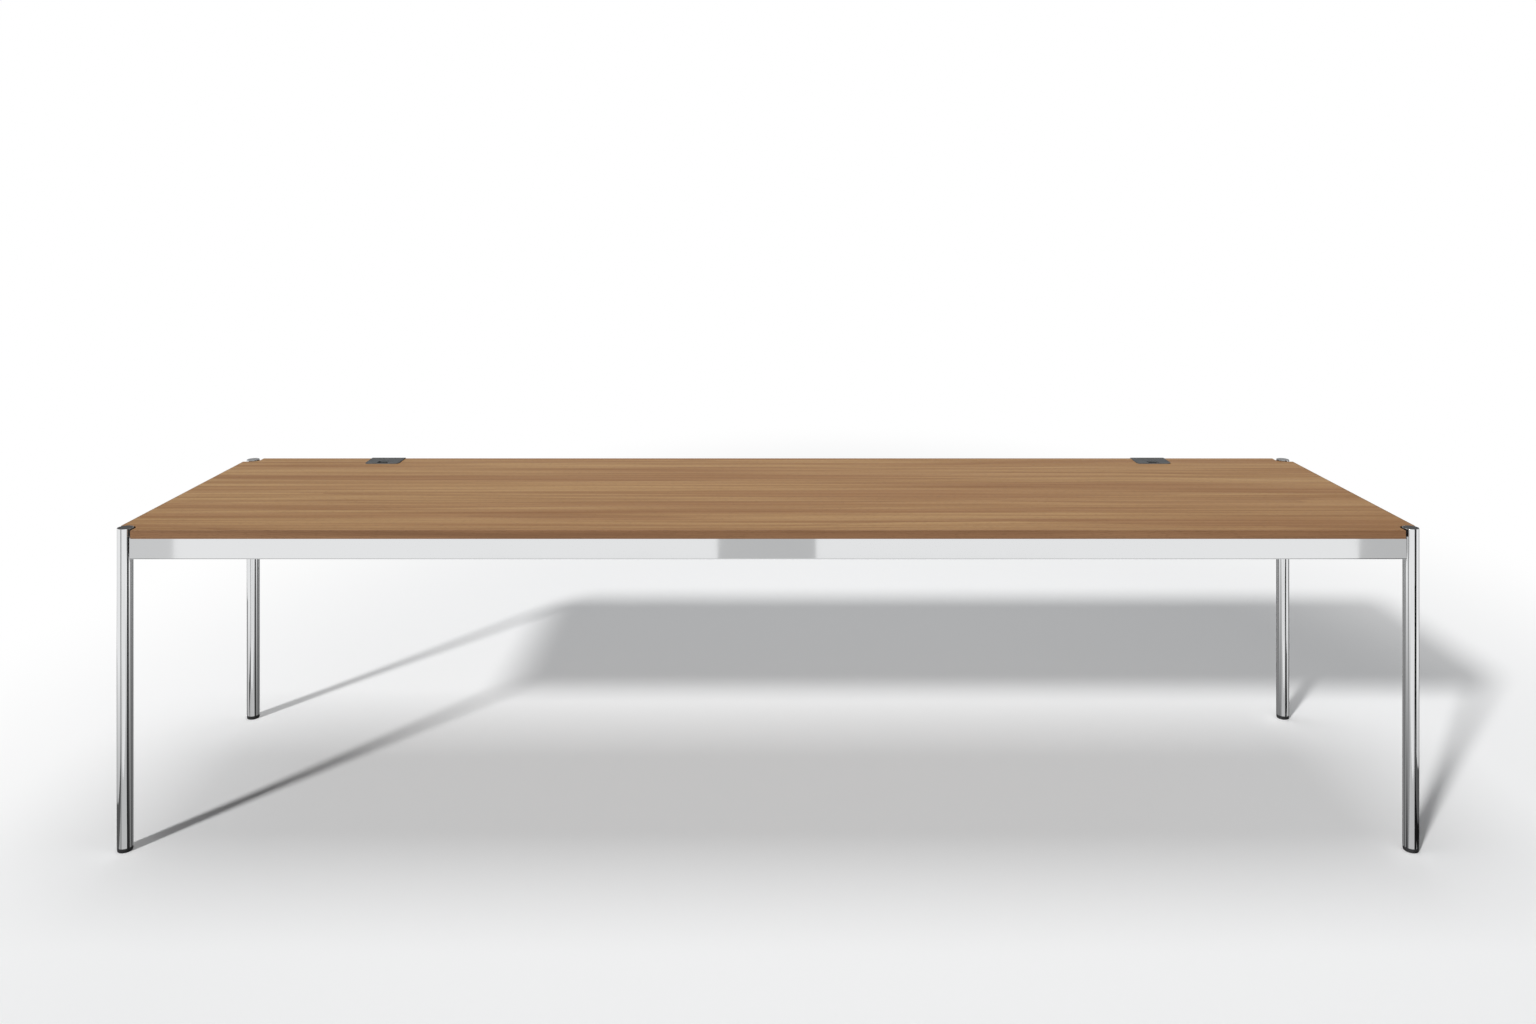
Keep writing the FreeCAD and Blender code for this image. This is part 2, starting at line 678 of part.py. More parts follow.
def make_end_plate():
    """A flat plate on a cross rail's end, with a screw hole on each side of the tube."""
    body = start_body("end_plate")
    pad(body, "XZ_Plane", "0", "end_plate_thickness",
        box("-end_plate_width / 2", "end_plate_width / 2", "-cross_rail_height", "0"))
    cut(body, "XZ_Plane", "-cut_overrun", "end_plate_thickness + cut_overrun",
        *[ring("screw_radius + hole_gap", f"{sign} * plate_screw_spacing / 2", "-cross_rail_height / 2")
          for sign in (-1, 1)])
    return body


def make_rivet_nut():
    """A threaded sleeve in the rail's inner wall, swollen behind it."""
    body = start_body("rivet_nut")
    bulb_radius = "nut_bulb_diameter / 2"
    turn(body, start_sketch(body, "XY_Plane", "0"), "V_Axis",
         [("nut_bore", "0"), ("nut_sleeve_radius", "0"), ("nut_sleeve_radius", "-nut_seat"),
          (bulb_radius, "-nut_seat"), (bulb_radius, "-nut_seat - nut_bulb_length"),
          ("nut_sleeve_radius", "-nut_seat - nut_bulb_length"), ("nut_sleeve_radius", "-nut_length"),
          ("nut_bore", "-nut_length")])
    return body


def make_plate_screw():
    """A cheese-head screw through the end plate into its rivet nut."""
    body = start_body("plate_screw")
    crown = "end_plate_thickness + screw_head_height"
    end = "end_plate_thickness - plate_screw_length"
    turn(body, start_sketch(body, "XY_Plane", "0"), "V_Axis",
         [("0", end), ("screw_radius", end), ("screw_radius", "end_plate_thickness"),
          ("screw_head_radius", "end_plate_thickness"), ("screw_head_radius", crown), ("0", crown)])
    cut(body, "XZ_Plane", f"{crown} - screw_key_depth", f"{crown} + cut_overrun", hexagon("screw_key"))
    return body


def make_cross_rails():
    """Two cross rails, each held to the long rails by a screwed plate at both ends."""
    plates = []
    screws = []
    for name, side in SIDES:
        make_cross_rail(name, side)
        for end_sign, degrees in ((-1, 0), (1, 180)):
            wall = f"{end_sign} * rail_inner_y"
            plates.append((f"{side} * cross_rail_spacing / 2", wall, "board_bottom", turned(degrees)))
            for screw_sign in (-1, 1):
                x = f"({side} * cross_rail_spacing + {screw_sign} * plate_screw_spacing) / 2"
                screws.append((x, wall, "plate_screw_z", turned(degrees)))
    copies("cross_rail_end_plates", (make_end_plate(), plates))
    copies("cross_rail_rivet_nuts", (make_rivet_nut(), screws))
    copies("cross_rail_screws", (make_plate_screw(), screws))


def make_top_screw(label, wall):
    """A cheese-head screw that bears on the inside of a tube's upper wall and ends in the board's insert."""
    body = start_body(label)
    head = f"-{wall} - screw_head_height"
    end = f"top_screw_length - {wall}"
    turn_upright(body, [("0", head), ("screw_head_radius", head), ("screw_head_radius", f"-{wall}"),
                        ("screw_radius", f"-{wall}"), ("screw_radius", end), ("0", end)])
    cut(body, "XY_Plane", f"{head} - cut_overrun", f"{head} + screw_key_depth", hexagon("screw_key"))
    return body


def make_insert():
    """A threaded bush in the board's underside."""
    body = start_body("insert")
    pad(body, "XY_Plane", "0", "insert_length", ring("insert_radius"), ring("screw_radius + running_gap"))
    return body


def make_board_fixings():
    """The screws that hold the board down, and their inserts."""
    over_rails, over_cross_rails = [[(x, y, "board_bottom") for x, y in places]
                                    for places in board_screw_places()]
    copies("top_screws", (make_top_screw("rail_top_screw", "rail_wall"), over_rails),
           (make_top_screw("cross_rail_top_screw", "cross_rail_wall"), over_cross_rails))
    copies("top_inserts", (make_insert(), over_rails + over_cross_rails))


def make_outlet_frame(name):
    """A dark frame in the cut-out, seated on the rail below: four walls and a ledge on each side."""
    body = start_body("outlet_frame_" + name)
    foot = "fit_gap - board_thickness"
    half_width = "outlet_width / 2"
    pad(body, "XY_Plane", foot, "rim_height", bay(half_width, "-outlet_depth", "0", "outlet_round"))
    round_edges(body, "rim_edge_round", lambda edge: is_at(edge.BoundBox.ZMin, "rim_height"))
    cut(body, "XY_Plane", f"{foot} - cut_overrun", "rim_height + cut_overrun",
        bay("outlet_inner_half", "-outlet_inner_front", "-outlet_wall", "outlet_inner_round"))
    for side_name, side in SIDES:
        faces = [f"{side} * (outlet_inner_half - ledge_width)",
                 f"{side} * (outlet_inner_half + outlet_wall / 2)"]
        ledge_front = "outlet_inner_round - outlet_inner_front"
        pad(body, "XY_Plane", "ledge_top - ledge_height", "ledge_top",
            box(*faces[::side], ledge_front, "-hinge_setback - lid_thickness"))
    pin_reach = "outlet_inner_half + hinge_pin_grip + fit_gap"
    cut(body, "YZ_Plane", f"-({pin_reach})", pin_reach,
        ring("hinge_pin_radius + running_gap", "-hinge_setback", "hinge_height"))
    screw_place = ("-outlet_depth / 2", "-board_thickness / 2")
    cut(body, "YZ_Plane", f"-{half_width} - cut_overrun", f"{half_width} + cut_overrun",
        ring("wood_screw_radius + hole_gap", *screw_place))
    head_reach = "outlet_inner_half + wood_screw_head_height + fit_gap"
    cut(body, "YZ_Plane", f"-({head_reach})", head_reach,
        ring("wood_screw_head_radius + fit_gap", *screw_place))
    return body


def make_outlet_lid(name):
    """A lid that lies flush in the frame, turning on its round back edge, with a cable notch in front."""
    body = start_body("outlet_lid_" + name)
    notch_end = "cable_notch_depth - lid_front"
    notch_half = "cable_notch_width / 2"
    pad(body, "XY_Plane", "lid_bottom", "rim_height",
        bay("lid_half", "-lid_front", "-hinge_setback", "(outlet_inner_round - lid_gap)"))
    mouth = "-lid_front - cut_overrun"
    notch_side = f"{notch_end} - cable_notch_round"
    cut(body, "XY_Plane", "lid_bottom - cut_overrun", "rim_height + cut_overrun",
        outline([(f"-{notch_half}", mouth), (notch_half, mouth),
                 (notch_half, notch_side, "cable_notch_round"),
                 (f"{notch_half} - cable_notch_round", notch_end),
                 (f"cable_notch_round - {notch_half}", notch_end, "cable_notch_round"),
                 (f"-{notch_half}", notch_side)]))
    pad(body, "YZ_Plane", "-lid_half", "lid_half",
        ring("lid_thickness / 2", "-hinge_setback", "hinge_height"))
    cut(body, "YZ_Plane", "-lid_half - cut_overrun", "lid_half + cut_overrun",
        ring("hinge_pin_radius + running_gap", "-hinge_setback", "hinge_height"))
    return body


def make_hinge_pin(name):
    """A thin steel pin through the lid's back edge, held in both side walls of the frame."""
    body = start_body("outlet_hinge_pin_" + name)
    reach = "outlet_inner_half + hinge_pin_grip"
    pad(body, "YZ_Plane", f"-({reach})", reach, ring("hinge_pin_radius", "-hinge_setback", "hinge_height"))
    return body


def make_wood_screw():
    """A flat-headed wood screw, its head level with the frame's inner wall."""
    body = start_body("wood_screw")
    shank_end = "wood_screw_length - wood_screw_tip"
    turn(body, start_sketch(body, "XZ_Plane", "0"), "H_Axis",
         [("0", "0"), ("0", "wood_screw_head_radius"), ("wood_screw_head_height", "wood_screw_head_radius"),
          ("wood_screw_head_height", "wood_screw_radius"), (shank_end, "wood_screw_radius"),
          ("wood_screw_length", "0")])
    return body


def make_outlets():
    """Two cable outlets at the back edge, each screwed to the board from inside its frame."""
    screws = []
    for name, side in SIDES:
        centre = f"{side} * outlet_x"
        for body in (make_outlet_frame(name), make_outlet_lid(name), make_hinge_pin(name)):
            put(body, centre, "top_depth / 2", "top_height")
            keep(body)
        screws += [(f"{centre} + {sign} * outlet_inner_half", "outlet_screw_y", "outlet_screw_z", turned(degrees))
                   for sign, degrees in ((1, 0), (-1, 180))]
    copies("outlet_screws", (make_wood_screw(), screws))


def check_document():
    """Stops if an object failed, a cut took nothing away, or a sub-part is empty or unsound."""
    for thing in doc.Objects:
        if "Invalid" in thing.State or "Error" in thing.State:
            raise RuntimeError(f"{thing.Label} failed: {thing.State}")
        if thing.TypeId == "PartDesign::Pocket" and thing.Shape.Volume >= thing.BaseFeature.Shape.Volume:
            raise RuntimeError(f"{thing.Label} cuts nothing")
    for node in nodes:
        if node.Shape.isNull() or not node.Shape.isValid() or not node.Shape.Solids:
            raise RuntimeError(f"{node.Label} is not a sound solid")


def write_nodes():
    """Writes each sub-part to a file of its own."""
    os.makedirs("parts", exist_ok=True)
    for node in nodes:
        node.Shape.exportStep(os.path.join("parts", node.Label + ".step"))
        print(f"{node.Label}: {len(node.Shape.Solids)} solids, {node.Shape.Volume:.0f} mm3")


make_tabletop()
make_lippings()
for corner in CORNERS:
    make_leg(corner)
    make_leg_cap(corner)
    make_corner_plug(corner)
    make_foot(corner)
make_rail_frame()
make_cross_rails()
make_board_fixings()
make_outlets()
doc.recompute()
check_document()
write_nodes()
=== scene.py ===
import math

import bmesh
import bpy
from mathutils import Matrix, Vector


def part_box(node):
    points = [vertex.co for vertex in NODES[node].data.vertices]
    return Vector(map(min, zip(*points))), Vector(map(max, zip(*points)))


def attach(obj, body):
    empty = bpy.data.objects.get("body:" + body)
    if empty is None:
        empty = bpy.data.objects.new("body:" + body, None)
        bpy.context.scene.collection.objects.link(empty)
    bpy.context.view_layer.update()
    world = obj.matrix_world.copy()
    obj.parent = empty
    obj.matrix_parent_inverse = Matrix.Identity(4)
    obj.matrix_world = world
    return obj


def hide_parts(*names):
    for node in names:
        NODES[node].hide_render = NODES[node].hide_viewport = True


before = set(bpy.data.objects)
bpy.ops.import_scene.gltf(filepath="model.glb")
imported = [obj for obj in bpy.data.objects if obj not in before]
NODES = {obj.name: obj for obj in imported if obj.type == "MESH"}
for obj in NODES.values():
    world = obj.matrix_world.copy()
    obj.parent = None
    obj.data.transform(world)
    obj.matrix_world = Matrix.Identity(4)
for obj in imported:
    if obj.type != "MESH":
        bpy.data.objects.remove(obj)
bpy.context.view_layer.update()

bl_info = {
    "name": "Long Meeting Table",
    "version": (1, 0, 0),
    "blender": (4, 5, 0),
    "location": "3D View > Sidebar > Table",
    "description": "Finishes a long veneered meeting table on a chromed tube frame and sets its studio",
    "category": "Object",
}

# Size of the full image in pixels, and width of the camera's sensor in millimetres
IMAGE_WIDTH = 1536
IMAGE_HEIGHT = 1024
SENSOR_WIDTH = 36.0
CORNERS = ("front_left", "front_right", "back_right", "back_left")
SIDES = ("front", "right", "back", "left")
ENDS = ("left", "right")
VENEER_LOW, VENEER_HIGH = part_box("tabletop_top_veneer")
VENEER_LEAVES = 5
WHITE = (1.0, 1.0, 1.0, 1.0)


def linear(shade):
    """An sRGB hex colour as three linear values."""
    parts = [int(shade[i:i + 2], 16) / 255 for i in (1, 3, 5)]
    return tuple(c / 12.92 if c <= 0.04045 else ((c + 0.055) / 1.055) ** 2.4 for c in parts)


def opaque(tint):
    """A colour with its alpha, as a node's socket takes it."""
    return (*tint, 1.0)


def colour(name, description, shade):
    """A colour that the user can change."""
    return bpy.props.FloatVectorProperty(name=name, description=description, subtype="COLOR",
                                         default=linear(shade), min=0, max=1)


def length(name, description, metres):
    """A length that the user can change."""
    return bpy.props.FloatProperty(name=name, description=description, default=metres,
                                   min=0, unit="LENGTH", precision=5)


class TableFinishes(bpy.types.PropertyGroup):
    """Colours and pattern sizes of the table's surfaces."""

    veneer_light: colour("Veneer light", "Palest wood of the tabletop's veneer", "#B99366")
    veneer_mid: colour("Veneer", "Main colour of the tabletop's veneer", "#A67D55")
    veneer_dark: colour("Veneer dark", "Late wood and streaks of the veneer", "#8B6341")
    veneer_pore: colour("Veneer pores", "Open pores of the veneer", "#674930")
    backing_light: colour("Backing light", "Palest wood of the backing veneer", "#7C7065")
    backing_mid: colour("Backing", "Main colour of the backing veneer", "#70655B")
    backing_dark: colour("Backing dark", "Late wood of the backing veneer", "#5E544B")
    lipping_light: colour("Lipping light", "Palest wood of the edge lipping", "#8F6B4C")
    lipping_mid: colour("Lipping", "Main colour of the edge lipping", "#846043")
    lipping_dark: colour("Lipping dark", "Late wood of the edge lipping", "#6A4B33")
    board_light: colour("Board light", "Palest chips of the board core", "#CDB083")
    board_dark: colour("Board dark", "Darkest chips of the board core", "#8F7047")
    # Painted shade: a near black for the sawn notch walls, standing in for the shadow in the gap round
    # each leg
    painted_notch_shade: colour("Painted notch shade", "Painted shade on the sawn walls round the legs", "#1E1A17")
    chrome: colour("Chrome", "Chrome plate of the legs and rails", "#EDEEEF")
    zinc: colour("Zinc plate", "Zinc plate of the hidden steelwork", "#B4B8BC")
    zinc_dull: colour("Dull zinc", "Duller clouds in the zinc plate", "#969A9C")
    nylon: colour("Nylon", "Black nylon of the feet", "#1F1F20")
    nylon_rubbed: colour("Rubbed nylon", "Paler specks of the moulded nylon", "#2D2D2E")
    graphite: colour("Graphite", "Graphite plastic of the cable outlets", "#525353")
    graphite_speck: colour("Graphite speck", "Paler specks of the graphite plastic", "#5E5F5F")
    leaf_width: length("Leaf width", "Width of one sheet of veneer",
                       (VENEER_HIGH.y - VENEER_LOW.y) / VENEER_LEAVES)
    ring_width: length("Ring width", "Growth of the tree in one year", 0.006)


class StudioSettings(bpy.types.PropertyGroup):
    """Camera, lamps and floor."""

    camera_place: bpy.props.FloatVectorProperty(
        name="Camera", description="Where the camera stands", subtype="TRANSLATION",
        unit="LENGTH", default=(0.0, -3.198, 1.528))
    focus_pixels: bpy.props.FloatProperty(
        name="Focal length", description="Focal length in pixels of the full image",
        default=1236.0, min=1, subtype="PIXEL")
    horizon_row: bpy.props.FloatProperty(
        name="Horizon", description="Row of the image that the level camera looks along",
        default=185.7, subtype="PIXEL")
    key_direction: bpy.props.FloatVectorProperty(
        name="Key direction", description="Way that the key lamp's light travels",
        subtype="DIRECTION", default=(0.522, 0.689, -0.503))
    key_strength: bpy.props.FloatProperty(
        name="Key strength", description="Light of the key lamp", default=2.98, min=0)
    key_softness: bpy.props.FloatProperty(
        name="Key softness", description="Angle across the key lamp", default=math.radians(5.5),
        min=0, subtype="ANGLE")
    overhead_power: bpy.props.FloatProperty(
        name="Overhead power", description="Power of the overhead soft box", default=252.0, min=0,
        unit="POWER")
    overhead_width: length("Overhead width", "Width of the overhead soft box", 5.0)
    overhead_depth: length("Overhead depth", "Depth of the overhead soft box", 4.5)
    overhead_place: bpy.props.FloatVectorProperty(
        name="Overhead place", description="Where the overhead soft box hangs", subtype="TRANSLATION",
        unit="LENGTH", default=(0.1, 0.9, 8.0))
    fill: colour("Fill", "Light from all round the studio", "#575A5D")
    mirror_tone: bpy.props.FloatProperty(
        name="Mirror tone", description="Brightness of the studio's walls in the chrome",
        default=0.89, min=0)
    floor: colour("Floor", "Plain pale floor", "#F8F8F8")


def node(tree, kind, inputs=None, **settings):
    """Adds one node, sets it, and links or fills its inputs."""
    made = tree.nodes.new(kind)
    for name, value in settings.items():
        setattr(made, name, value)
    for socket, value in (inputs or {}).items():
        if isinstance(value, bpy.types.NodeSocket):
            tree.links.new(value, made.inputs[socket])
        else:
            made.inputs[socket].default_value = value
    return made


def blank(name):
    """A new material's empty node tree."""
    made = bpy.data.materials.new(name)
    made.use_nodes = True
    made.node_tree.nodes.clear()
    return made


# The numbers of the sockets of a Mix node that mixes colours
FACTOR, FIRST, SECOND, MIXED = 0, 6, 7, 2


def dress(material, names):
    """Gives a finish to some of the table's nodes."""
    for name in names:
        slots = NODES[name].material_slots
        if len(slots) != 1:
            raise RuntimeError(f"{name} has {len(slots)} material slots")
        slots[0].material = material


def grain_scale(along, long, wide):
    """Pattern repeats per metre: one length along the grain, one width across it."""
    across = 1 / wide
    return (1 / long, across, across) if along == "X" else (across, 1 / long, across)


# Patterns that run with the grain: length and width in metres, and how many finer layers each has.
# Fibres are about 0.1 mm wide and are drawn as 2 mm bundles, so that they show.
GRAIN = {"ripple": (0.6, 0.05, 3.0), "band": (1.4, 0.06, 2.0), "streak": (0.9, 0.014, 3.0),
         "fibre": (0.12, 0.002, 2.0)}
# Pores are 0.3 mm wide slots: drawn about 0.9 mm wide and 9 mm long, one to a cell, so that they show
PORE_CELL = (0.022, 0.0022)
PORE_DEPTH = 0.00015
# The log that the leaves come from, in metres: its run, how fast it tapers, how far its heart wanders
# aside and how deep its heart lies
LOG_RUN = 40.0
LOG_TAPER = 0.012
HEART_WANDER = 0.06
HEART_DEPTH = 0.12
# How strongly each pattern darkens the wood
LATE_WOOD_SHARE = 0.4
STREAK_SHARE = 0.6
FIBRE_SHARE = 0.25
PORE_SHARE = 0.55
# How far the roughness strays from its middle value along the streaks
SHEEN_SPREAD = 0.05


def sliced_wood(name, along, leaf_width, ring_width, light, mid, dark, pore, roughness):
    """Wood sliced from logs: yearly rings cut at a slant, long streaks, fibres and open pores."""
    made = blank(name)
    tree = made.node_tree
    place = node(tree, "ShaderNodeTexCoord").outputs["Object"]
    axes = node(tree, "ShaderNodeSeparateXYZ", {"Vector": place})
    length_way = axes.outputs[along]
    width_way = axes.outputs["Y" if along == "X" else "X"]
    grain = {}
    for pattern, (long, wide, detail) in GRAIN.items():
        drawn_out = node(tree, "ShaderNodeVectorMath", {0: place, 1: grain_scale(along, long, wide)},
                         operation="MULTIPLY")
        noise = node(tree, "ShaderNodeTexNoise", {"Vector": drawn_out.outputs[0], "Scale": 1.0,
                                                  "Detail": detail})
        grain[pattern] = noise.outputs["Fac"]
    # Each leaf of veneer is its own stretch of the log, so its rings start elsewhere
    shifted = node(tree, "ShaderNodeMath", {0: width_way, 1: leaf_width / 2}, operation="ADD")
    leaf = node(tree, "ShaderNodeMath", {0: shifted.outputs[0], 1: leaf_width}, operation="SNAP")
    chance = node(tree, "ShaderNodeTexWhiteNoise", {"W": leaf.outputs[0]}, noise_dimensions="1D")
    chances = node(tree, "ShaderNodeSeparateColor", {"Color": chance.outputs["Color"]})
    in_leaf = node(tree, "ShaderNodeMath", {0: width_way, 1: leaf.outputs[0]}, operation="SUBTRACT")
    log_place = node(tree, "ShaderNodeMath", {0: chances.outputs["Red"], 1: LOG_RUN, 2: length_way},
                     operation="MULTIPLY_ADD")
    # The log's heart wanders to and fro under the leaf, which draws the long pointed arches
    wander = node(tree, "ShaderNodeTexNoise", {"W": log_place.outputs[0], "Scale": 0.7, "Detail": 1.5},
                  noise_dimensions="1D")
    aside = node(tree, "ShaderNodeMapRange", {"Value": wander.outputs["Fac"], 1: 0.0, 2: 1.0,
                                              3: -HEART_WANDER, 4: HEART_WANDER})
    aside_leaf = node(tree, "ShaderNodeMath", {0: chances.outputs["Green"], 1: leaf_width,
                                               2: aside.outputs[0]}, operation="MULTIPLY_ADD")
    from_heart = node(tree, "ShaderNodeMath", {0: in_leaf.outputs[0], 1: aside_leaf.outputs[0]},
                      operation="SUBTRACT")
    rise = node(tree, "ShaderNodeTexNoise", {"W": log_place.outputs[0], "Scale": 0.45, "Detail": 1.0},
                noise_dimensions="1D")
    depth = node(tree, "ShaderNodeMapRange", {"Value": rise.outputs["Fac"], 1: 0.0, 2: 1.0,
                                              3: 0.0, 4: HEART_DEPTH})
    taper = node(tree, "ShaderNodeMath", {0: length_way, 1: LOG_TAPER, 2: depth.outputs[0]},
                 operation="MULTIPLY_ADD")
    slant = node(tree, "ShaderNodeCombineXYZ", {"X": from_heart.outputs[0], "Y": taper.outputs[0],
                                                "Z": axes.outputs["Z"]})
    from_pith = node(tree, "ShaderNodeVectorMath", {0: slant.outputs[0]}, operation="LENGTH")
    years = node(tree, "ShaderNodeMath", {0: from_pith.outputs["Value"], 1: 1 / ring_width,
                                          2: grain["ripple"]}, operation="MULTIPLY_ADD")
    year = node(tree, "ShaderNodeMath", {0: years.outputs[0]}, operation="FRACT")
    # Late wood is a thin line at the end of each year
    late_wood = node(tree, "ShaderNodeMath", {0: year.outputs[0], 1: 3.0}, operation="POWER")
    pore_place = node(tree, "ShaderNodeVectorMath", {0: place, 1: grain_scale(along, *PORE_CELL)},
                      operation="MULTIPLY")
    pores = node(tree, "ShaderNodeTexVoronoi", {"Vector": pore_place.outputs[0], "Scale": 1.0})
    pore_mask = node(tree, "ShaderNodeMapRange", {"Value": pores.outputs["Distance"], 1: 0.12,
                                                  2: 0.3, 3: 1.0, 4: 0.0})
    # The colour, from the broad bands up to the pores
    band_share = node(tree, "ShaderNodeMapRange", {"Value": grain["band"], 1: 0.4, 2: 0.6,
                                                   3: 0.0, 4: 1.0})
    ground = node(tree, "ShaderNodeMix", {FACTOR: band_share.outputs[0], FIRST: opaque(light),
                                          SECOND: opaque(mid)}, data_type="RGBA")
    streak_share = node(tree, "ShaderNodeMapRange", {"Value": grain["streak"], 1: 0.42, 2: 0.68,
                                                     3: 0.0, 4: STREAK_SHARE})
    ring_share = node(tree, "ShaderNodeMath", {0: late_wood.outputs[0], 1: LATE_WOOD_SHARE,
                                               2: streak_share.outputs[0]}, operation="MULTIPLY_ADD")
    ringed = node(tree, "ShaderNodeMix", {FACTOR: ring_share.outputs[0], FIRST: ground.outputs[MIXED],
                                          SECOND: opaque(dark)}, data_type="RGBA")
    fibre_share = node(tree, "ShaderNodeMapRange", {"Value": grain["fibre"], 1: 0.3, 2: 0.7,
                                                    3: 0.0, 4: FIBRE_SHARE})
    fibred = node(tree, "ShaderNodeMix", {FACTOR: fibre_share.outputs[0], FIRST: ringed.outputs[MIXED],
                                          SECOND: opaque(dark)}, data_type="RGBA")
    pore_share = node(tree, "ShaderNodeMath", {0: pore_mask.outputs[0], 1: PORE_SHARE},
                      operation="MULTIPLY")
    pored = node(tree, "ShaderNodeMix", {FACTOR: pore_share.outputs[0], FIRST: fibred.outputs[MIXED],
                                         SECOND: opaque(pore)}, data_type="RGBA")
    sheen = node(tree, "ShaderNodeMapRange", {"Value": grain["streak"], 1: 0.3, 2: 0.7,
                                              3: roughness - SHEEN_SPREAD, 4: roughness + SHEEN_SPREAD})
    dents = node(tree, "ShaderNodeMath", {0: pore_mask.outputs[0], 1: -1.0, 2: grain["fibre"]},
                 operation="MULTIPLY_ADD")
    relief = node(tree, "ShaderNodeBump", {"Height": dents.outputs[0], "Strength": 0.25,
                                           "Distance": PORE_DEPTH})
    surface = node(tree, "ShaderNodeBsdfPrincipled",
                   {"Base Color": pored.outputs[MIXED], "Roughness": sheen.outputs[0],
                    "Normal": relief.outputs[0], "IOR": 1.5, "Specular IOR Level": 0.2})
    node(tree, "ShaderNodeOutputMaterial", {"Surface": surface.outputs[0]})
    return made


# Chips of the board core, and how far the painted shade on its notch walls reaches in from the box of a
# leg
CHIP_LENGTH = 0.004
CHIP_THICKNESS = 0.001
CHIP_RELIEF = 0.0004
NOTCH_ROOM = 0.006


class TABLE_OT_tabletop(bpy.types.Operator):
    """Veneers the tabletop on both faces and shows the chips of its core"""

    bl_idname = "table.tabletop"
    bl_label = "Tabletop"

    def execute(self, context):
        look = context.scene.table_finishes
        # Walnut veneer, sliced, jointed and satin lacquered: long low-contrast figure, a soft sheen
        veneer = sliced_wood("satin lacquered walnut veneer", "X", look.leaf_width, look.ring_width,
                             look.veneer_light, look.veneer_mid, look.veneer_dark,
                             look.veneer_pore, roughness=0.45)
        dress(veneer, ["tabletop_top_veneer"])
        # Backing veneer, sliced and left bare: greyer and duller than the face
        backing = sliced_wood("bare backing veneer", "X", look.leaf_width, look.ring_width,
                              look.backing_light, look.backing_mid, look.backing_dark,
                              look.veneer_pore, roughness=0.7)
        dress(backing, ["tabletop_backing_veneer"])
        # Chipboard, pressed and sawn: straw-coloured flakes of every shade, quite matt
        made = blank("sawn chipboard")
        tree = made.node_tree
        place = node(tree, "ShaderNodeTexCoord").outputs["Object"]
        chip_scale = (1 / CHIP_LENGTH, 1 / CHIP_LENGTH, 1 / CHIP_THICKNESS)
        chip_place = node(tree, "ShaderNodeVectorMath", {0: place, 1: chip_scale}, operation="MULTIPLY")
        chips = node(tree, "ShaderNodeTexVoronoi", {"Vector": chip_place.outputs[0], "Scale": 1.0})
        shade = node(tree, "ShaderNodeSeparateColor", {"Color": chips.outputs["Color"]})
        wood = node(tree, "ShaderNodeMix", {FACTOR: shade.outputs["Red"],
                                            FIRST: opaque(look.board_light),
                                            SECOND: opaque(look.board_dark)}, data_type="RGBA")
        # The walls of the notches round the legs carry painted shade, near black, so the gap there
        # looks empty
        sides = node(tree, "ShaderNodeVectorMath", {0: place}, operation="ABSOLUTE")
        from_middle = node(tree, "ShaderNodeSeparateXYZ", {"Vector": sides.outputs[0]})
        leg_low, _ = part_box("leg_back_right")
        at_end = node(tree, "ShaderNodeMath", {0: from_middle.outputs["X"], 1: leg_low.x - NOTCH_ROOM},
                      operation="GREATER_THAN")
        at_edge = node(tree, "ShaderNodeMath", {0: from_middle.outputs["Y"], 1: leg_low.y - NOTCH_ROOM},
                       operation="GREATER_THAN")
        at_leg = node(tree, "ShaderNodeMath", {0: at_end.outputs[0], 1: at_edge.outputs[0]},
                      operation="MULTIPLY")
        notch_painted_shade = node(tree, "ShaderNodeMix", {FACTOR: at_leg.outputs[0], FIRST: wood.outputs[MIXED],
                                              SECOND: opaque(look.painted_notch_shade)}, data_type="RGBA")
        rough = node(tree, "ShaderNodeMapRange", {"Value": shade.outputs["Green"], 1: 0.0, 2: 1.0,
                                                  3: 0.75, 4: 0.95})
        relief = node(tree, "ShaderNodeBump", {"Height": chips.outputs["Distance"], "Strength": 0.5,
                                               "Distance": CHIP_RELIEF})
        surface = node(tree, "ShaderNodeBsdfPrincipled",
                       {"Base Color": notch_painted_shade.outputs[MIXED], "Roughness": rough.outputs[0],
                        "Normal": relief.outputs[0], "IOR": 1.5})
        node(tree, "ShaderNodeOutputMaterial", {"Surface": surface.outputs[0]})
        dress(made, ["tabletop_core"])
        return {"FINISHED"}


# Far wider than a lipping, so that each one is a single piece of wood
LIPPING_LEAF = 2.0


class TABLE_OT_lippings(bpy.types.Operator):
    """Finishes the solid wood lippings on the tabletop's edges"""

    bl_idname = "table.lippings"
    bl_label = "Edge lippings"

    def execute(self, context):
        look = context.scene.table_finishes
        # Solid walnut strips, planed and stained a shade darker than the top: fine lengthwise grain
        for along, sides in (("X", ("front", "back")), ("Y", ("left", "right"))):
            wood = sliced_wood(f"stained walnut lipping {along.lower()}", along, LIPPING_LEAF,
                               look.ring_width / 2, look.lipping_light, look.lipping_mid,
                               look.lipping_dark, look.veneer_pore, roughness=0.5)
            dress(wood, [f"edge_lipping_{side}" for side in sides])
        return {"FINISHED"}


# Patches of buffing haze in each metre, about 80 mm across
HAZE_PATCHES = 12.0
# Buffing lines are finer than 0.1 mm: drawn 25 mm long and 1 mm apart, so that they show
BUFFING_LENGTH = 0.025
BUFFING_SPACING = 0.001
BUFFING_DEPTH = 0.0001


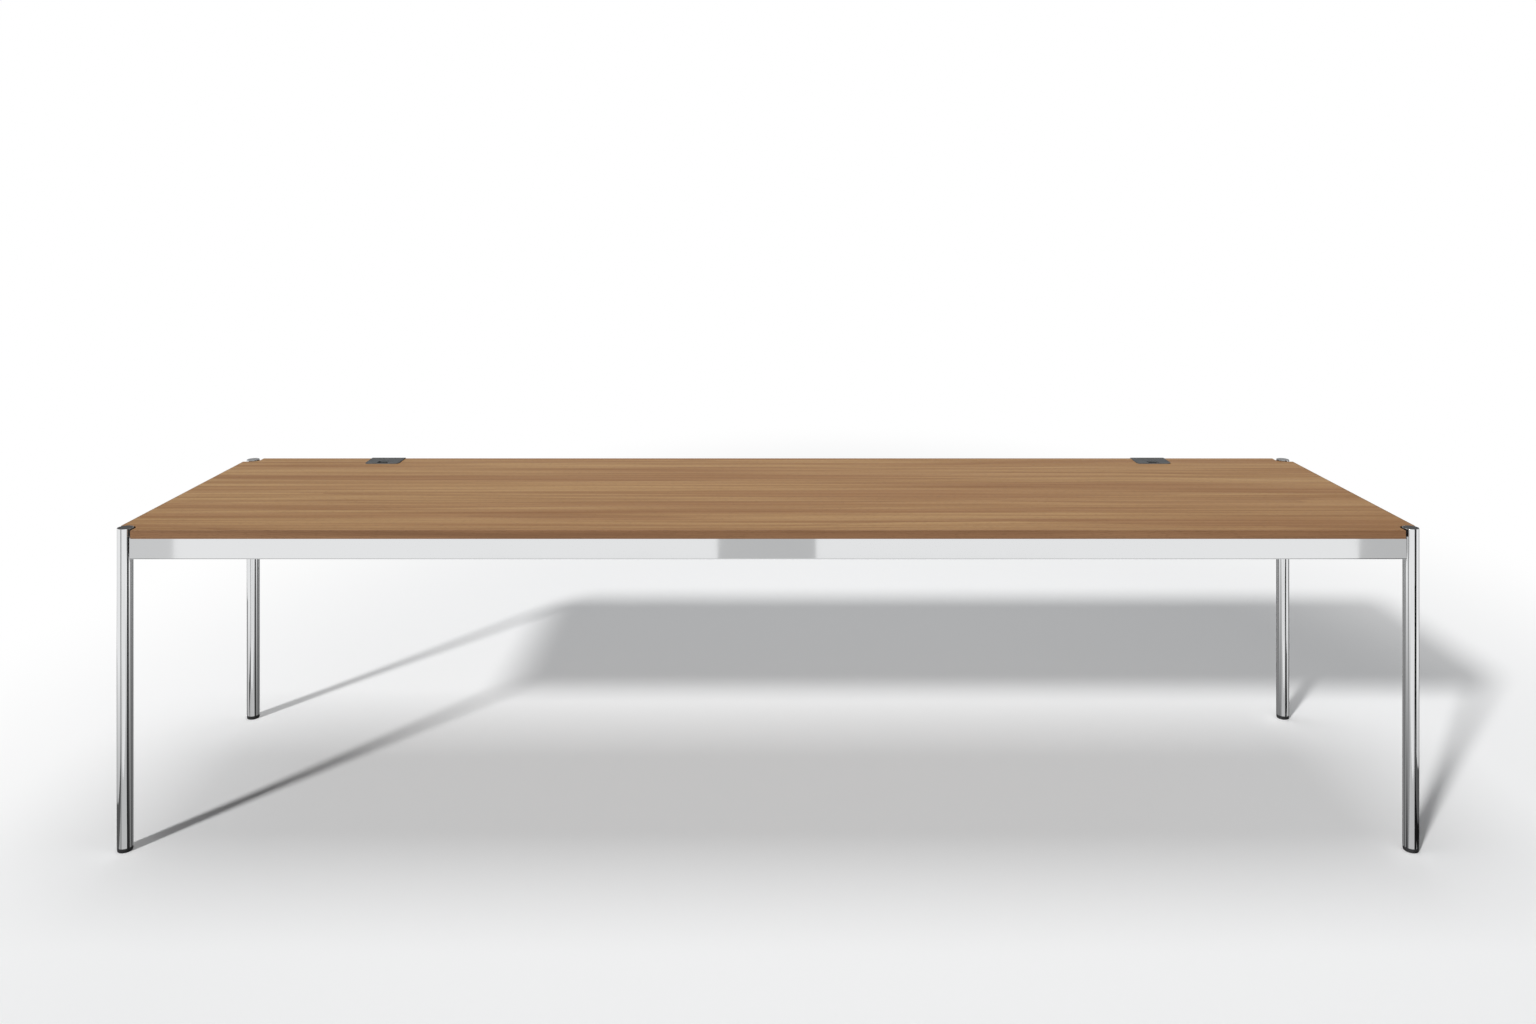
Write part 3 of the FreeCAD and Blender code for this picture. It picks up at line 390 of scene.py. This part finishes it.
class TABLE_OT_chromed_tubes(bpy.types.Operator):
    """Chromes the legs, their caps and the rails"""

    bl_idname = "table.chromed_tubes"
    bl_label = "Legs and rails"

    def execute(self, context):
        look = context.scene.table_finishes
        # Chrome plate on polished steel tube: a clear mirror with a faint haze from buffing
        made = blank("polished chrome plate")
        tree = made.node_tree
        place = node(tree, "ShaderNodeTexCoord").outputs["Object"]
        haze = node(tree, "ShaderNodeTexNoise", {"Vector": place, "Scale": HAZE_PATCHES, "Detail": 3.0})
        rough = node(tree, "ShaderNodeMapRange", {"Value": haze.outputs["Fac"], 1: 0.3, 2: 0.7,
                                                  3: 0.03, 4: 0.06})
        buffing_scale = (1 / BUFFING_LENGTH, 1 / BUFFING_LENGTH, 1 / BUFFING_SPACING)
        buffing_place = node(tree, "ShaderNodeVectorMath", {0: place, 1: buffing_scale},
                             operation="MULTIPLY")
        buffing = node(tree, "ShaderNodeTexNoise", {"Vector": buffing_place.outputs[0], "Scale": 1.0})
        relief = node(tree, "ShaderNodeBump", {"Height": buffing.outputs["Fac"], "Strength": 0.02,
                                               "Distance": BUFFING_DEPTH})
        surface = node(tree, "ShaderNodeBsdfPrincipled",
                       {"Base Color": opaque(look.chrome), "Metallic": 1.0,
                        "Roughness": rough.outputs[0], "Normal": relief.outputs[0]})
        node(tree, "ShaderNodeOutputMaterial", {"Surface": surface.outputs[0]})
        dress(made, [f"{piece}_{corner}" for piece in ("leg", "leg_cap") for corner in CORNERS])
        dress(made, [f"rail_{side}" for side in SIDES])
        return {"FINISHED"}


# Thread of the levelling feet: an M10 screw's coarse thread, whose depth is a share of its pitch.
# Crest and root are flat over a small share of each slope.
THREAD_PITCH = 0.0015
THREAD_DEPTH_SHARE = 0.5413
THREAD_FLAT_SHARE = 0.14
# Rings of points in each turn of the thread, points in each ring, and the angle that stays sharp
THREAD_STEPS = 8
THREAD_SEGMENTS = 40
SHARP_ANGLE = math.radians(35)
# The pin below the thread, which turns in the sole and ends at the collar
COLLAR_LOW, COLLAR_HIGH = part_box("foot_collar_front_left")
FOOT_PIN_RADIUS = 0.003
FOOT_PIN_TOP = COLLAR_LOW.z


def thread_height(turns):
    """How far the thread stands up, from 0 at its root to 1 at its crest, some turns along it."""
    slope = 1 - abs(2 * (turns % 1) - 1)
    return min(max((slope - THREAD_FLAT_SHARE) / (1 - 2 * THREAD_FLAT_SHARE), 0), 1)


def cut_spindle(corner, material):
    """A foot's spindle with its pin, plain shank and screw thread."""
    low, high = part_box(f"foot_spindle_{corner}")
    axis = (low + high) / 2
    radius = (high.x - low.x) / 2
    depth = THREAD_DEPTH_SHARE * THREAD_PITCH
    start = COLLAR_HIGH.z - THREAD_PITCH
    steps = round((high.z - start) / THREAD_PITCH * THREAD_STEPS)
    heights = [start + (high.z - start) * i / steps for i in range(steps + 1)]
    rings = [(low.z, lambda _: FOOT_PIN_RADIUS), (FOOT_PIN_TOP, lambda _: FOOT_PIN_RADIUS),
             (FOOT_PIN_TOP, lambda _: radius)]
    for z in heights:
        # The thread runs out over one pitch at the collar, and the free end is bevelled
        run_in = min((z - start) / THREAD_PITCH, 1)
        bevel = max(z - (high.z - THREAD_PITCH), 0)
        rings.append((z, lambda turn, z=z, run_in=run_in, bevel=bevel: min(
            radius - depth * run_in * (1 - thread_height((z - start) / THREAD_PITCH - turn)),
            radius - bevel)))
    mesh = bmesh.new()
    rows = []
    for z, reach in rings:
        row = []
        for i in range(THREAD_SEGMENTS):
            turn = i / THREAD_SEGMENTS
            out = reach(turn)
            angle = math.tau * turn
            row.append(mesh.verts.new((axis.x + out * math.cos(angle),
                                       axis.y + out * math.sin(angle), z)))
        rows.append(row)
    for below, above in zip(rows, rows[1:]):
        for i in range(THREAD_SEGMENTS):
            j = (i + 1) % THREAD_SEGMENTS
            mesh.faces.new((below[i], below[j], above[j], above[i]))
    mesh.faces.new(reversed(rows[0]))
    mesh.faces.new(rows[-1])
    data = bpy.data.meshes.new(f"threaded_spindle_{corner}")
    mesh.to_mesh(data)
    mesh.free()
    data.shade_smooth()
    data.set_sharp_from_angle(angle=SHARP_ANGLE)
    data.materials.append(material)
    spindle = bpy.data.objects.new(f"threaded_spindle_{corner}", data)
    bpy.context.scene.collection.objects.link(spindle)
    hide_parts(f"foot_spindle_{corner}")
    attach(spindle, f"foot_screw_{corner}")


# Clouds and grains of the zinc plate
CLOUD_SIZE = 0.0125
ZINC_GRAIN = 0.001
ZINC_RELIEF = 0.0001


class TABLE_OT_steelwork(bpy.types.Operator):
    """Zinc plates the hidden steelwork and the fixings, and cuts the threads of the feet's spindles"""

    bl_idname = "table.steelwork"
    bl_label = "Steelwork and fixings"

    def execute(self, context):
        look = context.scene.table_finishes
        # Zinc plate on steel: a greyish satin gleam, clouded where the bath left it thicker
        made = blank("zinc plated steel")
        tree = made.node_tree
        place = node(tree, "ShaderNodeTexCoord").outputs["Object"]
        clouds = node(tree, "ShaderNodeTexNoise", {"Vector": place, "Scale": 1 / CLOUD_SIZE,
                                                   "Detail": 4.0})
        grains = node(tree, "ShaderNodeTexNoise", {"Vector": place, "Scale": 1 / ZINC_GRAIN,
                                                   "Detail": 2.0})
        cloud_share = node(tree, "ShaderNodeMapRange", {"Value": clouds.outputs["Fac"], 1: 0.35,
                                                        2: 0.65, 3: 0.0, 4: 1.0})
        tint = node(tree, "ShaderNodeMix", {FACTOR: cloud_share.outputs[0], FIRST: opaque(look.zinc),
                                            SECOND: opaque(look.zinc_dull)}, data_type="RGBA")
        rough = node(tree, "ShaderNodeMapRange", {"Value": clouds.outputs["Fac"], 1: 0.3, 2: 0.7,
                                                  3: 0.28, 4: 0.45})
        relief = node(tree, "ShaderNodeBump", {"Height": grains.outputs["Fac"], "Strength": 0.1,
                                               "Distance": ZINC_RELIEF})
        surface = node(tree, "ShaderNodeBsdfPrincipled",
                       {"Base Color": tint.outputs[MIXED], "Metallic": 1.0,
                        "Roughness": rough.outputs[0], "Normal": relief.outputs[0]})
        node(tree, "ShaderNodeOutputMaterial", {"Surface": surface.outputs[0]})
        dress(made, [f"corner_plug_{corner}" for corner in CORNERS])
        dress(made, [f"foot_spindle_{corner}" for corner in CORNERS])
        dress(made, [f"rail_end_blocks_{side}" for side in SIDES])
        dress(made, [f"cross_rail_{end}" for end in ENDS])
        dress(made, [f"outlet_hinge_pin_{end}" for end in ENDS])
        dress(made, ["cross_rail_end_plates", "cross_rail_rivet_nuts", "cross_rail_screws",
                     "rail_dowel_bolts", "rail_set_screws", "top_screws", "top_inserts",
                     "outlet_screws"])
        for corner in CORNERS:
            cut_spindle(corner, made)
        return {"FINISHED"}


# Flow of the plastic in the mould, in soft patches, and how far it sways the roughness
FLOW_SIZE = 0.02
FLOW_SPREAD = 0.06


def moulded_plastic(name, body, speck, grit, roughness, depth):
    """Plastic from a textured mould: a matt skin of fine grit."""
    made = blank(name)
    tree = made.node_tree
    place = node(tree, "ShaderNodeTexCoord").outputs["Object"]
    grain = node(tree, "ShaderNodeTexVoronoi", {"Vector": place, "Scale": 1 / grit},
                 feature="SMOOTH_F1")
    flow = node(tree, "ShaderNodeTexNoise", {"Vector": place, "Scale": 1 / FLOW_SIZE, "Detail": 3.0})
    both = node(tree, "ShaderNodeMath", {0: grain.outputs["Distance"], 1: 0.6, 2: flow.outputs["Fac"]},
                operation="MULTIPLY_ADD")
    share = node(tree, "ShaderNodeMapRange", {"Value": both.outputs[0], 1: 0.5, 2: 1.1, 3: 0.0, 4: 1.0})
    tint = node(tree, "ShaderNodeMix", {FACTOR: share.outputs[0], FIRST: opaque(body),
                                        SECOND: opaque(speck)}, data_type="RGBA")
    rough = node(tree, "ShaderNodeMapRange", {"Value": flow.outputs["Fac"], 1: 0.3, 2: 0.7,
                                              3: roughness - FLOW_SPREAD, 4: roughness + FLOW_SPREAD})
    relief = node(tree, "ShaderNodeBump", {"Height": grain.outputs["Distance"], "Strength": 0.4,
                                           "Distance": depth})
    surface = node(tree, "ShaderNodeBsdfPrincipled",
                   {"Base Color": tint.outputs[MIXED], "Roughness": rough.outputs[0],
                    "Normal": relief.outputs[0], "IOR": 1.52, "Specular IOR Level": 0.25})
    node(tree, "ShaderNodeOutputMaterial", {"Surface": surface.outputs[0]})
    return made


class TABLE_OT_feet(bpy.types.Operator):
    """Finishes the nylon of the levelling feet"""

    bl_idname = "table.feet"
    bl_label = "Levelling feet"

    def execute(self, context):
        look = context.scene.table_finishes
        # Black nylon, moulded: nearly black with a dull bloom; its 0.1 mm grit is drawn at 0.5 mm
        nylon = moulded_plastic("moulded black nylon", look.nylon, look.nylon_rubbed,
                                grit=0.0005, roughness=0.5, depth=0.0001)
        dress(nylon, [f"foot_{piece}_{corner}" for piece in ("socket", "collar", "sole")
                      for corner in CORNERS])
        return {"FINISHED"}


class TABLE_OT_outlets(bpy.types.Operator):
    """Finishes the frames and lids of the cable outlets"""

    bl_idname = "table.outlets"
    bl_label = "Cable outlets"

    def execute(self, context):
        look = context.scene.table_finishes
        # Graphite ABS from a spark-eroded mould: an even matt dark grey; 0.15 mm grit drawn at 0.8 mm
        graphite = moulded_plastic("spark textured graphite plastic", look.graphite,
                                   look.graphite_speck, grit=0.0008, roughness=0.6, depth=0.00015)
        dress(graphite, [f"outlet_{piece}_{end}" for piece in ("frame", "lid") for end in ENDS])
        return {"FINISHED"}


# The floor: how far it goes, and the oval round the table outside which it glows white to the camera as
# painted light, with its shift and the start of its fading as shares of that oval
FLOOR_REACH = 40.0
FADE_WIDTH = 3.1
FADE_DEPTH = 5.2
FADE_SHIFT_SHARES = (-0.13, 0.08, 0.0)
FADE_START_SHARE = 0.5
# The well below the floor, which only the chrome sees: its reach and height, how high the lanes lie on
# it, and the distances from its middle at which its tone turns
WELL_REACH = 25.0
WELL_HEIGHT = -3.0
LANE_LIFT = 0.01
WELL_PALE = (3.9, 4.6)
WELL_RISE = (5.0, 11.5)
# The band behind the table and the flag over it
BAND_REACH = 9.0
BAND_BACK = 5.0
FLAG_FRONT = -3.0
FLAG_HEIGHT = 7.0


def level(left, right, front, back, height=0.0):
    """The corners of a level sheet."""
    return [(left, front, height), (right, front, height), (right, back, height), (left, back, height)]


def upright(start, end, bottom, top):
    """The corners of an upright sheet over the line from start to end."""
    return [(*start, bottom), (*end, bottom), (*end, top), (*start, top)]


def stage_sheet(name, corners, material):
    """A flat sheet of the studio, which isn't part of the table."""
    data = bpy.data.meshes.new(name)
    data.from_pydata(corners, [], [(0, 1, 2, 3)])
    data.materials.append(material)
    sheet = bpy.data.objects.new(name, data)
    bpy.context.scene.collection.objects.link(sheet)
    return sheet


def only_in_mirrors(sheet):
    """Shows a sheet of the studio in glossy surfaces alone."""
    sheet.visible_camera = False
    sheet.visible_diffuse = False
    sheet.visible_shadow = False
    sheet.visible_transmission = False
    sheet.visible_volume_scatter = False


def glowing_card(name, tone):
    """A sheet that glows in one tone and lights nothing, for the cards that the chrome mirrors: painted
    reflections.
    """
    made = blank(name)
    tree = made.node_tree
    paper = node(tree, "ShaderNodeEmission", {"Color": opaque((tone,) * 3), "Strength": 1.0})
    node(tree, "ShaderNodeOutputMaterial", {"Surface": paper.outputs[0]})
    return made


class TABLE_OT_studio(bpy.types.Operator):
    """Sets the floor, the lamps, the cards that the chrome mirrors, and the camera"""

    bl_idname = "table.studio"
    bl_label = "Studio"

    def execute(self, context):
        studio = context.scene.studio_settings
        self.lay_floor(studio)
        self.hang_cards()
        self.light(context.scene, studio)
        self.set_camera(context.scene, studio)
        context.scene.view_settings.view_transform = "Standard"
        return {"FINISHED"}

    def lay_floor(self, studio):
        """A matt pale floor that glows white to the camera far behind and beside the table, reaching
        nearer on the left: painted light.
        """
        made = blank("pale matt floor")
        tree = made.node_tree
        place = node(tree, "ShaderNodeTexCoord").outputs["Object"]
        spread = node(tree, "ShaderNodeVectorMath", {0: place, 1: (1 / FADE_WIDTH, 1 / FADE_DEPTH, 0.0),
                                                     2: FADE_SHIFT_SHARES}, operation="MULTIPLY_ADD")
        away = node(tree, "ShaderNodeVectorMath", {0: spread.outputs[0]}, operation="LENGTH")
        far = node(tree, "ShaderNodeMapRange", {"Value": away.outputs["Value"], 1: FADE_START_SHARE,
                                                2: 1.0, 3: 0.0, 4: 1.0},
                   interpolation_type="SMOOTHSTEP")
        ray = node(tree, "ShaderNodeLightPath")
        share = node(tree, "ShaderNodeMath", {0: far.outputs[0], 1: ray.outputs["Is Camera Ray"]},
                     operation="MULTIPLY")
        matt = node(tree, "ShaderNodeBsdfDiffuse", {"Color": opaque(studio.floor)})
        white = node(tree, "ShaderNodeEmission", {"Color": WHITE, "Strength": 1.0})
        both = node(tree, "ShaderNodeMixShader", {0: share.outputs[0], 1: matt.outputs[0],
                                                  2: white.outputs[0]})
        node(tree, "ShaderNodeOutputMaterial", {"Surface": both.outputs[0]})
        floor = stage_sheet("floor", level(-FLOOR_REACH, FLOOR_REACH, -FLOOR_REACH, FLOOR_REACH), made)
        floor.visible_glossy = False

    def hang_cards(self):
        """Cards and flags round the table, which draw the lines in the chrome."""
        black = glowing_card("black flag", 0.01)
        dark = glowing_card("dark card", 0.1)
        shade = glowing_card("shade card", 0.2)
        grey = glowing_card("grey card", 0.3)
        mid = glowing_card("mid card", 0.55)
        pale = glowing_card("pale card", 0.66)
        bright = glowing_card("bright card", 0.82)
        low, high = -4.0, 4.0
        aside, near_aside = 3.2, 2.0
        near_low, near_high = 0.38, 0.72
        line_back, line_low, line_high = 2.2, -2.4, 0.6
        rail_front, rail_low, rail_high = -1.9, 0.12, 0.36
        # Upright along the sides: name, place across, front edge, back edge, bottom, top, paper
        for name, x, front, back, bottom, top, paper in (
                ("right_front_flag", aside, -4.1, -1.5, low, high, black),
                ("left_front_card", -aside, -3.9, -2.3, low, high, grey),
                ("right_back_card", aside, 1.2, 2.9, low, high, dark),
                ("right_middle_card", aside, 0.25, 1.2, low, high, grey),
                ("left_back_card", -aside, 1.5, 2.9, low, high, dark),
                ("left_middle_card", -aside, 0.25, 1.5, low, -0.19, grey),
                ("left_end_card", -1.9, -0.33, 0.33, near_low, near_high, bright),
                ("right_low_flag", near_aside, -1.3, 0.05, -0.26, -0.168, black),
                ("right_low_card", near_aside, -1.3, 0.05, -0.168, -0.02, dark),
                ("left_low_card", -near_aside, -1.3, 0.05, -0.26, -0.115, dark)):
            only_in_mirrors(stage_sheet(name, upright((x, front), (x, back), bottom, top), paper))
        # Upright across the studio: name, left edge, right edge, place along, bottom, top, paper
        for name, left, right, y, bottom, top, paper in (
                ("back_band", -BAND_REACH, BAND_REACH, BAND_BACK, 1.9, FLAG_HEIGHT, dark),
                ("back_low_band", -BAND_REACH, BAND_REACH, BAND_BACK, 1.6, 1.9, grey),
                ("left_line_card", -1.37, -0.47, line_back, line_low, line_high, grey),
                ("middle_line_card", -0.47, 0.47, line_back, line_low, line_high, shade),
                ("right_line_card", 0.47, 1.37, line_back, line_low, line_high, dark),
                ("back_rail_card", -1.4, 1.4, 0.75, near_low, near_high, bright),
                ("middle_rail_card", -0.177, 0.169, rail_front, rail_low, rail_high, mid),
                ("left_rail_card", -2.32, -2.103, rail_front, rail_low, rail_high, pale),
                ("right_rail_card", 2.09, 2.32, rail_front, rail_low, rail_high, mid)):
            only_in_mirrors(stage_sheet(name, upright((left, y), (right, y), bottom, top), paper))
        # Below the floor, a glowing well, pale in the middle, dark round it and lighter further out,
        # which paints reflections in the chrome
        made = blank("glowing well")
        tree = made.node_tree
        place = node(tree, "ShaderNodeTexCoord").outputs["Object"]
        away = node(tree, "ShaderNodeVectorMath", {0: place}, operation="LENGTH")
        tone = node(tree, "ShaderNodeMapRange", {"Value": away.outputs["Value"], 1: WELL_RISE[0],
                                                 2: WELL_RISE[1], 3: 0.05, 4: 0.9})
        middle = node(tree, "ShaderNodeMapRange", {"Value": away.outputs["Value"], 1: WELL_PALE[0],
                                                   2: WELL_PALE[1], 3: 0.7, 4: 0.0})
        paler = node(tree, "ShaderNodeMath", {0: tone.outputs[0], 1: middle.outputs[0]},
                     operation="MAXIMUM")
        glow = node(tree, "ShaderNodeEmission", {"Color": WHITE, "Strength": paler.outputs[0]})
        node(tree, "ShaderNodeOutputMaterial", {"Surface": glow.outputs[0]})
        well = stage_sheet("well", level(-WELL_REACH, WELL_REACH, -WELL_REACH, WELL_REACH), made)
        well.location.z = WELL_HEIGHT
        only_in_mirrors(well)
        # Lanes laid on the well: name, left edge, right edge, front edge, back edge, paper
        lane_height = WELL_HEIGHT + LANE_LIFT
        for name, left, right, front, back, paper in (
                ("near_lane", -3.6, 3.6, -7.8, -4.0, glowing_card("near lane card", 0.55)),
                ("far_lane", -3.6, 3.6, -12.5, -7.8, glowing_card("far lane card", 0.86))):
            only_in_mirrors(stage_sheet(name, level(left, right, front, back, lane_height), paper))
        # Over the table, a flag that keeps the caps' edges dark
        only_in_mirrors(stage_sheet("overhead_flag", level(-BAND_REACH, BAND_REACH, FLAG_FRONT,
                                                           BAND_BACK, FLAG_HEIGHT), dark))

    def light(self, scene, studio):
        """One key lamp from the front left, one overhead soft box and an even fill."""
        key = bpy.data.lights.new("key_lamp", "SUN")
        key.energy = studio.key_strength
        key.angle = studio.key_softness
        key_lamp = bpy.data.objects.new("key_lamp", key)
        key_lamp.rotation_euler = Vector(studio.key_direction).to_track_quat("-Z", "Y").to_euler()
        scene.collection.objects.link(key_lamp)
        box = bpy.data.lights.new("overhead_soft_box", "AREA")
        box.shape = "RECTANGLE"
        box.size = studio.overhead_width
        box.size_y = studio.overhead_depth
        box.energy = studio.overhead_power
        soft_box = bpy.data.objects.new("overhead_soft_box", box)
        soft_box.location = studio.overhead_place
        scene.collection.objects.link(soft_box)
        world = bpy.data.worlds.new("studio")
        world.use_nodes = True
        tree = world.node_tree
        tree.nodes.clear()
        ray = node(tree, "ShaderNodeLightPath")
        mirror = (studio.mirror_tone,) * 3
        unseen = node(tree, "ShaderNodeMix", {FACTOR: ray.outputs["Is Glossy Ray"],
                                              FIRST: opaque(studio.fill),
                                              SECOND: opaque(mirror)}, data_type="RGBA")
        shade = node(tree, "ShaderNodeMix", {FACTOR: ray.outputs["Is Camera Ray"],
                                             FIRST: unseen.outputs[MIXED],
                                             SECOND: WHITE}, data_type="RGBA")
        around = node(tree, "ShaderNodeBackground", {"Color": shade.outputs[MIXED], "Strength": 1.0})
        node(tree, "ShaderNodeOutputWorld", {"Surface": around.outputs[0]})
        scene.world = world

    def set_camera(self, scene, studio):
        """A level camera in front of the table, shifted down to frame it."""
        lens = bpy.data.cameras.new("camera")
        lens.sensor_width = SENSOR_WIDTH
        lens.lens = studio.focus_pixels / IMAGE_WIDTH * lens.sensor_width
        lens.shift_y = (studio.horizon_row - IMAGE_HEIGHT / 2) / IMAGE_WIDTH
        camera = bpy.data.objects.new("camera", lens)
        camera.location = studio.camera_place
        camera.rotation_euler = (math.radians(90), 0.0, 0.0)
        scene.collection.objects.link(camera)
        scene.camera = camera


OPERATORS = (TABLE_OT_tabletop, TABLE_OT_lippings, TABLE_OT_chromed_tubes, TABLE_OT_steelwork,
             TABLE_OT_feet, TABLE_OT_outlets, TABLE_OT_studio)


class VIEW3D_PT_table(bpy.types.Panel):
    """Lists the steps that finish the table"""

    bl_idname = "VIEW3D_PT_table"
    bl_label = "Long Meeting Table"
    bl_space_type = "VIEW_3D"
    bl_region_type = "UI"
    bl_category = "Table"

    def draw(self, context):
        for group in (context.scene.table_finishes, context.scene.studio_settings):
            box = self.layout.box()
            for name in group.bl_rna.properties.keys():
                if name not in ("rna_type", "name"):
                    box.prop(group, name)
        for operator in OPERATORS:
            self.layout.operator(operator.bl_idname)


CLASSES = (TableFinishes, StudioSettings, *OPERATORS, VIEW3D_PT_table)


def register():
    """Makes the settings, the steps and the panel known to Blender."""
    for made in CLASSES:
        bpy.utils.register_class(made)
    bpy.types.Scene.table_finishes = bpy.props.PointerProperty(type=TableFinishes)
    bpy.types.Scene.studio_settings = bpy.props.PointerProperty(type=StudioSettings)


def unregister():
    """Takes back what register did, last first."""
    del bpy.types.Scene.studio_settings
    del bpy.types.Scene.table_finishes
    for made in reversed(CLASSES):
        bpy.utils.unregister_class(made)


def main():
    """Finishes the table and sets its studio."""
    register()
    bpy.ops.table.tabletop()
    bpy.ops.table.lippings()
    bpy.ops.table.chromed_tubes()
    bpy.ops.table.steelwork()
    bpy.ops.table.feet()
    bpy.ops.table.outlets()
    bpy.ops.table.studio()


if __name__ == "__main__":
    main()
